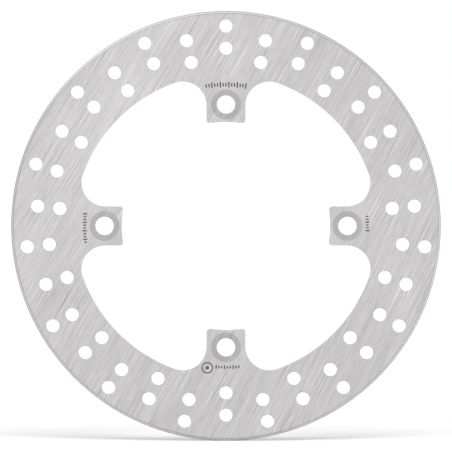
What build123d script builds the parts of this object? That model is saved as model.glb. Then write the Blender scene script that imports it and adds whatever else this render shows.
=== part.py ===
"""Brake disc for a motorcycle: one ground steel plate that bolts to the hub by four inner tabs.

The disc stands upright: its axis is Y and +Z is up. The origin is the centre of the bolt circle on the
back face, which rests on the hub. The front face, with the bolt seats and the marks, looks along -Y.
"""

from build123d import *
import os

# Plate, in millimetres
OUTER_RADIUS = 122.5
THICKNESS = 5.0
RIM_CHAMFER = 1.3

# Central opening: a large circle that the tabs reach into, with a ring of tab ends around the hub
OPENING_RADIUS = 86.7
TAB_COUNT = 4
TAB_WIDTH = 22.2
TAB_END_RADIUS = 59.4
TAB_ROOT_FILLET = 13.6
TAB_CORNER_FILLET = 1.8

# Bolt holes, one in each tab, with an etched seat around each on the front face
BOLT_CIRCLE_RADIUS = 69.25
BOLT_HOLE_RADIUS = 5.25
SEAT_RADIUS = 8.5
SEAT_DEPTH = 0.08

# Drilled friction ring: two kinds of radial line take turns, each with an outer and an inner hole
LINES_OF_EACH_KIND = 15
LINE_STEP = 360 / (2 * LINES_OF_EACH_KIND)
FIRST_LINE_ANGLE = 90
LINE_OUTER_RADII = (114.0, 108.0)
HOLE_STEP = 12.7
DRILL_RADIUS = 3.8

# Edge breaks of the drilled holes and of the cut edges
DRILL_CHAMFER = 0.2
CUT_EDGE_CHAMFER = 0.2

# Etched marks on the front face: scales of plain radial ticks, and a badge of a ring and a dot
MARK_DEPTH = 0.15
MARK_RADIUS = 80.6
TICK_WIDTH = 0.8
TICK_STEP = 1.15
SHORT_TICK_SHARE = 0.62
TICKS_PER_LONG_ONE = 3
# Each scale: the direction of its middle, in degrees, how many ticks it has, and its tick height
TICK_SCALES = ((90.0, 15, 3.2), (180.8, 11, 2.4), (1.0, 6, 2.4), (270.6, 9, 2.2))
BADGE_ANGLE = 262.5
BADGE_DISTANCE = 81.6
BADGE_RADIUS = 3.3
BADGE_RING_WIDTH = 0.7
BADGE_DOT_RADIUS = 1.0

BACK = Plane.XZ
FRONT = Plane.XZ.offset(THICKNESS)
SAME = 1e-4


def corners_at(distance, sketch):
    """The corners of a sketch that lie at one distance from the disc's axis."""
    return sketch.vertices().filter_by(lambda corner: abs(Vector(corner).length - distance) < SAME)


def circles_of(radius, part):
    """The round edges of one radius, on both faces of the plate."""
    rounds = part.edges().filter_by(GeomType.CIRCLE)
    return rounds.filter_by(lambda edge: abs(edge.radius - radius) < SAME)


def opening_edges(part):
    """The edges of the central opening, on both faces of the plate."""
    flat_faces = part.faces().filter_by(Axis.Y)
    return [edge for face in flat_faces for edge in face.inner_wires().sort_by(SortBy.LENGTH)[-1].edges()]


def drill_friction_ring():
    """Cuts the drilled holes from the outline: an outer and an inner row on each kind of line."""
    for kind, outer_radius in enumerate(LINE_OUTER_RADII):
        angle = FIRST_LINE_ANGLE + kind * LINE_STEP
        for row_radius in (outer_radius, outer_radius - HOLE_STEP):
            with PolarLocations(row_radius, LINES_OF_EACH_KIND, angle):
                Circle(DRILL_RADIUS, mode=Mode.SUBTRACT)


def tick_scale(middle, count, height):
    """A row of radial ticks across the circle of marks, every third one long."""
    first = middle - (count - 1) * TICK_STEP / 2
    for index in range(count):
        is_long = index % TICKS_PER_LONG_ONE == 0
        tick_height = height if is_long else height * SHORT_TICK_SHARE
        with PolarLocations(MARK_RADIUS, 1, first + index * TICK_STEP):
            Rectangle(tick_height, TICK_WIDTH)


def badge():
    """A plain ring with a dot in its middle."""
    with PolarLocations(BADGE_DISTANCE, 1, BADGE_ANGLE):
        Circle(BADGE_RADIUS)
        Circle(BADGE_RADIUS - BADGE_RING_WIDTH, mode=Mode.SUBTRACT)
        Circle(BADGE_DOT_RADIUS)


with BuildPart() as brake_disc:
    # The blank: outline, central opening, tabs and every through hole
    with BuildSketch(BACK) as blank:
        Circle(OUTER_RADIUS)
        Circle(OPENING_RADIUS, mode=Mode.SUBTRACT)
        with PolarLocations((OPENING_RADIUS + TAB_END_RADIUS) / 2, TAB_COUNT):
            Rectangle(OPENING_RADIUS - TAB_END_RADIUS + TAB_WIDTH / 2, TAB_WIDTH)
        Circle(TAB_END_RADIUS, mode=Mode.SUBTRACT)
        fillet(corners_at(OPENING_RADIUS, blank), TAB_ROOT_FILLET)
        fillet(corners_at(TAB_END_RADIUS, blank), TAB_CORNER_FILLET)
        with PolarLocations(BOLT_CIRCLE_RADIUS, TAB_COUNT):
            Circle(BOLT_HOLE_RADIUS, mode=Mode.SUBTRACT)
        drill_friction_ring()
    extrude(amount=THICKNESS)

    # Edges: a wide chamfer on the rim, small breaks on everything cut or drilled
    chamfer(circles_of(OUTER_RADIUS, brake_disc), RIM_CHAMFER)
    chamfer(circles_of(DRILL_RADIUS, brake_disc), DRILL_CHAMFER)
    chamfer(circles_of(BOLT_HOLE_RADIUS, brake_disc), CUT_EDGE_CHAMFER)
    chamfer(opening_edges(brake_disc), CUT_EDGE_CHAMFER)

    # Bolt seats, etched a little below the front face
    with BuildSketch(FRONT):
        with PolarLocations(BOLT_CIRCLE_RADIUS, TAB_COUNT):
            Circle(SEAT_RADIUS)
    extrude(amount=-SEAT_DEPTH, mode=Mode.SUBTRACT)

    # Marks, etched deeper and darker than the seats
    with BuildSketch(FRONT):
        for scale in TICK_SCALES:
            tick_scale(*scale)
        badge()
    extrude(amount=-MARK_DEPTH, mode=Mode.SUBTRACT)

brake_disc.part.label = "brake_disc"
os.makedirs("parts", exist_ok=True)
export_step(brake_disc.part, "parts/brake_disc.step")
print("volume, mm3:", round(brake_disc.part.volume))
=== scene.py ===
"""Looks of the brake disc: ground steel with long fine lines, on a pale floor in soft studio light."""

import math

import bpy
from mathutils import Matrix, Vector


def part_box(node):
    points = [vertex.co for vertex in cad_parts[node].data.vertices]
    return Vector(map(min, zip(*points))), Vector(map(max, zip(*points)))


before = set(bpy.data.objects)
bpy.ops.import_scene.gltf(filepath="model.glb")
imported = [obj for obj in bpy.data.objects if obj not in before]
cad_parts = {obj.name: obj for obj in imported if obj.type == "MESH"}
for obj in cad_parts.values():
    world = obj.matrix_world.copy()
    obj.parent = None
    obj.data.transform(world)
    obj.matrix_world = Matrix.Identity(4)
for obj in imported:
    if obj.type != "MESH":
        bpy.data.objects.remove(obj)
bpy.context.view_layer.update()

MM = 0.001
LOW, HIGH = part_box("brake_disc")
FRONT_Y = LOW.y
FLOOR_Z = LOW.z
OUTER_RADIUS = HIGH.x

# Ground face: the direction of its lines, how much they fan out in each metre, and its colour
GRAIN_ANGLE = math.radians(61)
GRAIN_FAN = 0.35
STEEL = (0.530, 0.518, 0.523)

# Layers of the ground face: length along the lines, width across them, seed of the noise and its detail
SPECKS = (5 * MM, 0.31 * MM, 3.0, 0.0)
FINE_LINES = (34 * MM, 0.28 * MM, 1.0, 0.0)
COARSE_LINES = (60 * MM, 1.3 * MM, 5.0, 1.0)
LINE_CLUSTERS = (25 * MM, 1.6 * MM, 7.0, 1.0)
SCRATCHES = (40 * MM, 0.6 * MM, 17.0, 1.0)
BANDS = (60 * MM, 18 * MM, 9.0, 1.0)
PATCHES = (100 * MM, 60 * MM, 13.0, 0.0)

# How much each layer changes the tone, and how strong the fine lines are from cluster to cluster
SPECK_WEIGHT = 0.31
FINE_WEIGHT = 0.70
SCRATCH_WEIGHT = 0.02
BAND_WEIGHT = 0.20
PATCH_WEIGHT = 0.08
FAINT_CLUSTER = 0.5
BOLD_CLUSTER = 1.5

# The strokes are weaker on the tabs, and the face is brighter towards the upper left
TAB_STROKES = 0.75
DIM_SIDE_TONE = 0.98
BRIGHT_SIDE_TONE = 1.04

# Cut walls: how fast the tone varies per metre along X, Y and Z, in lines around a wall and in lines
# through the plate, and the range of that tone
AROUND_A_WALL = (60.0, 7000.0, 60.0)
THROUGH_THE_PLATE = (3500.0, 90.0, 3500.0)
DARKEST_WALL_TONE = 0.60
WALL_TONE_RANGE = 0.5

# Tones against the plain face, and roughness
# The chamfers' lighter tone is painted light: it stands in for the brighter reflection the chamfers catch
CHAMFER_PAINTED_LIGHT_TONE = 1.28
# The two thin dark lines at the rim are painted shade at the edges of the rim chamfer
INNER_EDGE_PAINTED_SHADE = 0.68
OUTER_EDGE_PAINTED_SHADE = 0.60
SEAT_TONE = 0.77
MARK_TONE = 0.24
EDGE_ROUGHNESS = 0.60
FACE_SMOOTHER_BY = 0.24
ANISOTROPY = 0.5
BUMP_STRENGTH = 0.5
BUMP_HEIGHT = 0.02 * MM

# Shape of the plate that the finish follows
CHAMFER_START = OUTER_RADIUS - 1.3 * MM
DRILLED_FROM = 89 * MM
TAB_UP_TO = 76 * MM
SEAT_FLOOR = 0.04 * MM
MARK_FLOOR = 0.12 * MM

# Camera: nearly level with the disc, and so far back that the disc looks flat
VIEW_DISTANCE = 8.0
VIEW_ELEVATION = math.radians(1.5)
VIEW_WIDTH = 257.7 * MM
SENSOR_WIDTH = 36.0

# Studio: a wide floor, one soft key light, and surroundings that give less light from the sides
FLOOR_RADIUS = 6.0
FLOOR_ALBEDO = 0.80
KEY_TOWARDS = (0.1, -0.78, 0.62)
KEY_STRENGTH = 2.15
KEY_SOFTNESS = math.radians(45)
SIDE_FALL_OFF = 0.30


def node(tree, kind, settings=None, **inputs):
    """Adds a node. settings are its own options; an input is a plain value or another node's output."""
    made = tree.nodes.new(kind)
    for name, value in (settings or {}).items():
        setattr(made, name, value)
    for name, value in inputs.items():
        socket = made.inputs[name.replace("_", " ")]
        if isinstance(value, bpy.types.NodeSocket):
            tree.links.new(value, socket)
        else:
            socket.default_value = value
    return made


def maths(tree, operation, *values):
    """A Math node on one, two or three values, and its result."""
    made = tree.nodes.new("ShaderNodeMath")
    made.operation = operation
    for socket, value in zip(made.inputs, values):
        if isinstance(value, bpy.types.NodeSocket):
            tree.links.new(value, socket)
        else:
            socket.default_value = value
    return made.outputs[0]


def ramp(tree, value, low, high, to_low=0.0, to_high=1.0):
    """Carries value smoothly from to_low, at or below low, to to_high, at or above high."""
    made = node(tree, "ShaderNodeMapRange", {"interpolation_type": "SMOOTHSTEP"}, Value=value)
    for name, number in (("From Min", low), ("From Max", high), ("To Min", to_low), ("To Max", to_high)):
        made.inputs[name].default_value = number
    return made.outputs["Result"]


def blend_values(tree, share, first, second):
    """first where share is 0, second where share is 1."""
    made = node(tree, "ShaderNodeMix", {"data_type": "FLOAT"}, Factor=share, A=first, B=second)
    return made.outputs["Result"]


def total(tree, *terms):
    """The sum of (weight, value) pairs."""
    result = 0.0
    for weight, value in terms:
        result = maths(tree, "MULTIPLY_ADD", value, weight, result)
    return result


def product(tree, first, *others):
    """All the values multiplied together."""
    result = first
    for value in others:
        result = maths(tree, "MULTIPLY", result, value)
    return result


def grain(tree, place, length, width, seed, detail):
    """Noise around 0, drawn out to length along the first axis of place and to width across it."""
    stretch = node(
        tree,
        "ShaderNodeMapping",
        Vector=place,
        Location=(seed, seed * 1.7, seed * 2.3),
        Scale=(1 / length, 1 / width, 1 / width),
    )
    noise = node(tree, "ShaderNodeTexNoise", Vector=stretch.outputs[0], Scale=1.0, Detail=detail)
    return maths(tree, "SUBTRACT", noise.outputs[0], 0.5)


def grinding_lines(tree, position):
    """Coordinates along the grinding lines, in depth and across them. The lines fan out a little."""
    turned = node(tree, "ShaderNodeMapping", Vector=position, Rotation=(0.0, GRAIN_ANGLE, 0.0))
    along, depth, across = node(tree, "ShaderNodeSeparateXYZ", Vector=turned.outputs[0]).outputs
    spread = maths(tree, "MULTIPLY_ADD", along, GRAIN_FAN, 1.0)
    fanned = maths(tree, "MULTIPLY", across, spread)
    return node(tree, "ShaderNodeCombineXYZ", X=along, Y=depth, Z=fanned).outputs[0], across


def ground_face(tree, position, radius):
    """Tone and relief of the ground face: fine lines in clusters over slow bands."""
    lines, across = grinding_lines(tree, position)

    # Layers of noise along the lines
    specks = grain(tree, lines, *SPECKS)
    fine = grain(tree, lines, *FINE_LINES)
    coarse = grain(tree, lines, *COARSE_LINES)
    clusters = ramp(tree, grain(tree, lines, *LINE_CLUSTERS), -0.2, 0.2, FAINT_CLUSTER, BOLD_CLUSTER)
    scratches = ramp(tree, grain(tree, lines, *SCRATCHES), 0.16, 0.26)
    bands = grain(tree, lines, *BANDS)
    patches = grain(tree, lines, *PATCHES)

    # The strokes, and the slow changes under them
    strokes = product(tree, total(tree, (FINE_WEIGHT, fine), (SCRATCH_WEIGHT, scratches)), clusters)
    strokes = total(tree, (SPECK_WEIGHT, specks), (1.0, strokes))
    strokes = product(tree, strokes, ramp(tree, radius, TAB_UP_TO, TAB_UP_TO + 8 * MM, TAB_STROKES, 1.0))
    slow = total(tree, (BAND_WEIGHT, bands), (PATCH_WEIGHT, patches))
    side = ramp(tree, across, 20 * MM, 100 * MM, DIM_SIDE_TONE, BRIGHT_SIDE_TONE)
    tone = maths(tree, "ADD", maths(tree, "ADD", strokes, slow), side)
    relief = total(tree, (1.0, fine), (0.8, coarse), (0.5, scratches))
    return tone, relief


def striations(tree, position, per_metre):
    """Noise from 0 to 1 that varies at a given rate per metre along X, Y and Z."""
    stretch = node(tree, "ShaderNodeMapping", Vector=position, Scale=per_metre)
    noise = node(tree, "ShaderNodeTexNoise", Vector=stretch.outputs[0], Scale=1.0, Detail=2.0)
    return noise.outputs[0]


def cut_walls(tree, position, radius):
    """Tone of the cut walls: lines around the rim and the drilled holes, through the plate elsewhere."""
    around = striations(tree, position, AROUND_A_WALL)
    through = striations(tree, position, THROUGH_THE_PLATE)
    is_drilled = ramp(tree, radius, DRILLED_FROM, DRILLED_FROM + MM)
    lines = blend_values(tree, is_drilled, through, around)
    return maths(tree, "MULTIPLY_ADD", lines, WALL_TONE_RANGE, DARKEST_WALL_TONE)


def ground_steel():
    """Ground stainless steel: ground faces, plain chamfers lightened with painted light, cut walls, etched
    seats and marks, and two thin lines of painted shade at the rim.
    """
    material = bpy.data.materials.new("ground_steel_finish")
    material.use_nodes = True
    tree = material.node_tree
    tree.nodes.clear()

    place = node(tree, "ShaderNodeTexCoord")
    position = place.outputs["Object"]
    x, y, z = node(tree, "ShaderNodeSeparateXYZ", Vector=position).outputs
    normal = node(tree, "ShaderNodeSeparateXYZ", Vector=place.outputs["Normal"])
    facing = maths(tree, "ABSOLUTE", normal.outputs[1])
    radius = maths(tree, "SQRT", maths(tree, "MULTIPLY_ADD", x, x, maths(tree, "MULTIPLY", z, z)))

    # facing is 1 on a face, 0.7 on a chamfer and 0 on a wall
    face_tone, relief = ground_face(tree, position, radius)
    is_chamfer = ramp(tree, facing, 0.3, 0.6)
    is_face = ramp(tree, facing, 0.85, 0.97)
    # The chamfers are the same steel as the face, made lighter with painted light
    tone = blend_values(tree, is_chamfer, cut_walls(tree, position, radius), CHAMFER_PAINTED_LIGHT_TONE)
    tone = blend_values(tree, is_face, tone, face_tone)

    # Painted shade at the rim: a thin dark line where the rim chamfer starts, and one where it ends, which
    # covers the rim's wall too; they stand in for the shade at the chamfer's edges
    from_line = maths(tree, "ABSOLUTE", maths(tree, "SUBTRACT", radius, CHAMFER_START))
    from_rim = maths(tree, "SUBTRACT", OUTER_RADIUS, radius)
    inner_edge_painted_shade = ramp(tree, from_line, 0.15 * MM, 0.35 * MM, INNER_EDGE_PAINTED_SHADE, 1.0)
    outer_edge_painted_shade = ramp(tree, from_rim, 0.35 * MM, 0.55 * MM, OUTER_EDGE_PAINTED_SHADE, 1.0)
    tone = product(tree, tone, inner_edge_painted_shade, outer_edge_painted_shade)

    # Etched seats and marks lie below the front face, and the marks lie deeper
    sunk = maths(tree, "SUBTRACT", y, FRONT_Y)
    in_front = maths(tree, "MULTIPLY", is_face, ramp(tree, sunk, 1.0 * MM, 1.5 * MM, 1.0, 0.0))
    in_seat = maths(tree, "MULTIPLY", in_front, ramp(tree, sunk, SEAT_FLOOR, SEAT_FLOOR + 0.01 * MM))
    in_mark = maths(tree, "MULTIPLY", in_front, ramp(tree, sunk, MARK_FLOOR, MARK_FLOOR + 0.01 * MM))
    etched = blend_values(tree, in_mark, blend_values(tree, in_seat, 1.0, SEAT_TONE), MARK_TONE)
    tone = maths(tree, "MULTIPLY", tone, etched)

    colour = node(tree, "ShaderNodeVectorMath", {"operation": "SCALE"}, Scale=tone)
    colour.inputs[0].default_value = STEEL

    roughness = total(tree, (0.12, relief), (0.2, in_mark), (-FACE_SMOOTHER_BY, is_face))
    roughness = maths(tree, "ADD", roughness, EDGE_ROUGHNESS)
    bump = node(tree, "ShaderNodeBump", Height=relief, Strength=BUMP_STRENGTH, Distance=BUMP_HEIGHT)

    across_grain = node(tree, "ShaderNodeCombineXYZ")
    across_grain.inputs[0].default_value = -math.sin(GRAIN_ANGLE)
    across_grain.inputs[2].default_value = math.cos(GRAIN_ANGLE)

    shader = node(
        tree,
        "ShaderNodeBsdfPrincipled",
        Base_Color=colour.outputs[0],
        Metallic=1.0,
        Roughness=roughness,
        Anisotropic=ANISOTROPY,
        Normal=bump.outputs[0],
        Tangent=across_grain.outputs[0],
    )
    output = node(tree, "ShaderNodeOutputMaterial")
    tree.links.new(shader.outputs[0], output.inputs[0])
    return material


def pale_floor():
    """A wide plain floor that the disc stands on."""
    bpy.ops.mesh.primitive_circle_add(
        vertices=96,
        radius=FLOOR_RADIUS,
        fill_type="NGON",
        location=(0, 0, FLOOR_Z),
    )
    floor = bpy.context.object
    floor.name = "floor"
    material = bpy.data.materials.new("floor_white")
    material.use_nodes = True
    shader = material.node_tree.nodes["Principled BSDF"]
    shader.inputs["Base Color"].default_value = (FLOOR_ALBEDO, FLOOR_ALBEDO, FLOOR_ALBEDO, 1.0)
    shader.inputs["Roughness"].default_value = 1.0
    shader.inputs["Specular IOR Level"].default_value = 0.0
    floor.data.materials.append(material)


def soft_sun(name, towards, strength, softness):
    """A soft light from far away, which is even over the whole floor. towards points to the light."""
    data = bpy.data.lights.new(name, "SUN")
    data.energy = strength
    data.angle = softness
    light = bpy.data.objects.new(name, data)
    light.rotation_euler = Vector(towards).to_track_quat("Z", "Y").to_euler()
    bpy.context.scene.collection.objects.link(light)


def surroundings():
    """A white studio: pure white to the camera, and with less light from the left and the right."""
    world = bpy.data.worlds.new("studio")
    world.use_nodes = True
    tree = world.node_tree
    direction = node(tree, "ShaderNodeTexCoord").outputs["Generated"]
    sideways = node(tree, "ShaderNodeSeparateXYZ", Vector=direction).outputs[0]
    squared = maths(tree, "MULTIPLY", sideways, sideways)
    as_light = maths(tree, "MULTIPLY_ADD", squared, -SIDE_FALL_OFF, 1.0)
    seen = node(tree, "ShaderNodeLightPath").outputs["Is Camera Ray"]
    strength = blend_values(tree, seen, as_light, 1.0)
    tree.links.new(strength, tree.nodes["Background"].inputs["Strength"])
    tree.nodes["Background"].inputs["Color"].default_value = (1.0, 1.0, 1.0, 1.0)
    bpy.context.scene.world = world


def head_on_camera():
    """A long lens that looks straight at the front face."""
    data = bpy.data.cameras.new("camera")
    data.sensor_width = SENSOR_WIDTH
    data.lens = SENSOR_WIDTH * VIEW_DISTANCE / VIEW_WIDTH
    camera = bpy.data.objects.new("camera", data)
    backwards = Vector((0.0, -math.cos(VIEW_ELEVATION), math.sin(VIEW_ELEVATION)))
    camera.location = Vector((0.0, FRONT_Y, 0.0)) + backwards * VIEW_DISTANCE
    camera.rotation_euler = (-backwards).to_track_quat("-Z", "Y").to_euler()
    bpy.context.scene.collection.objects.link(camera)
    bpy.context.scene.camera = camera


head_on_camera()
pale_floor()
surroundings()
soft_sun("key", KEY_TOWARDS, KEY_STRENGTH, KEY_SOFTNESS)
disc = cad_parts["brake_disc"]
disc.material_slots[0].material = ground_steel()
bpy.context.scene.view_settings.view_transform = "Standard"
